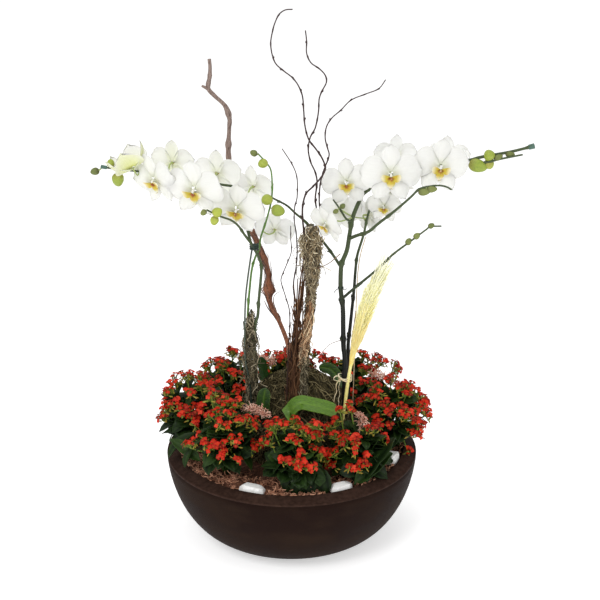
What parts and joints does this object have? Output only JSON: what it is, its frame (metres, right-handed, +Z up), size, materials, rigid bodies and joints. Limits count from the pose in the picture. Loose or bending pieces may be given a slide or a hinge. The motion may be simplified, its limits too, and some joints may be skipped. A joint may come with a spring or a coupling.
{
  "type": "orchid arrangement",
  "caption": "White moth orchids with curly willow, a bare branch and a grass plume in a fibre mound, ringed by red kalanchoe plants in a wide round bowl.",
  "frame": {"origin": "centre of the bowl's flat underside", "axes": "+Z up, -Y towards the front, +X to the right seen from the front"},
  "size_m": [0.7362, 0.45, 0.9397],
  "materials": {
    "bowl_brown": "matte",
    "soil": "matte",
    "copper_fibre": "matte",
    "moss_fibre": "matte",
    "pebble_white": "satin",
    "kalanchoe_leaf": "satin",
    "kalanchoe_flower": "matte",
    "orchid_leaf": "satin",
    "orchid_stem": "satin",
    "petal_white": "satin",
    "stake_dark": "satin",
    "bark": "matte",
    "willow": "matte",
    "hanging_moss": "matte",
    "plume": "matte",
    "raffia": "matte"
  },
  "bodies": {
    "root": {"bowl": "bowl_brown", "potting_soil": "soil", "fibre_dressing": "copper_fibre", "moss_mound": "moss_fibre", "pebble_front_left": "pebble_white", "pebble_front_right": "pebble_white", "pebble_right": "pebble_white", "kalanchoe_right_leaves": "kalanchoe_leaf", "kalanchoe_right_flowers": "kalanchoe_flower", "kalanchoe_front_right_leaves": "kalanchoe_leaf", "kalanchoe_front_right_flowers": "kalanchoe_flower", "kalanchoe_front_leaves": "kalanchoe_leaf", "kalanchoe_front_flowers": "kalanchoe_flower", "kalanchoe_front_left_leaves": "kalanchoe_leaf", "kalanchoe_front_left_flowers": "kalanchoe_flower", "kalanchoe_left_leaves": "kalanchoe_leaf", "kalanchoe_left_flowers": "kalanchoe_flower", "kalanchoe_back_left_leaves": "kalanchoe_leaf", "kalanchoe_back_left_flowers": "kalanchoe_flower", "kalanchoe_back_leaves": "kalanchoe_leaf", "kalanchoe_back_flowers": "kalanchoe_flower", "kalanchoe_back_right_leaves": "kalanchoe_leaf", "kalanchoe_back_right_flowers": "kalanchoe_flower", "orchid_leaf_front": "orchid_leaf", "orchid_leaf_left": "orchid_leaf", "orchid_leaf_right_back": "orchid_leaf", "orchid_leaf_left_back": "orchid_leaf", "orchid_left_spike": "orchid_stem", "orchid_left_second_spike": "orchid_stem", "orchid_right_spike": "orchid_stem", "orchid_right_second_spike": "orchid_stem", "flower_left_1": "petal_white", "flower_left_2": "petal_white", "flower_left_3": "petal_white", "flower_left_4": "petal_white", "flower_left_5": "petal_white", "flower_left_6": "petal_white", "flower_left_7": "petal_white", "flower_left_8": "petal_white", "flower_right_1": "petal_white", "flower_right_2": "petal_white", "flower_right_3": "petal_white", "flower_right_4": "petal_white", "flower_right_5": "petal_white", "flower_right_6": "petal_white", "flower_right_7": "petal_white", "flower_right_8": "petal_white", "flower_right_9": "petal_white", "flower_right_10": "petal_white", "stake_left": "stake_dark", "thick_branch": "bark", "willow_tall": "willow", "willow_middle": "willow", "willow_right": "willow", "willow_short": "willow", "willow_thin": "willow", "moss_column": "hanging_moss", "moss_wrap_left": "hanging_moss", "plume": "plume", "raffia_tie": "raffia"}
  },
  "joints": []
}
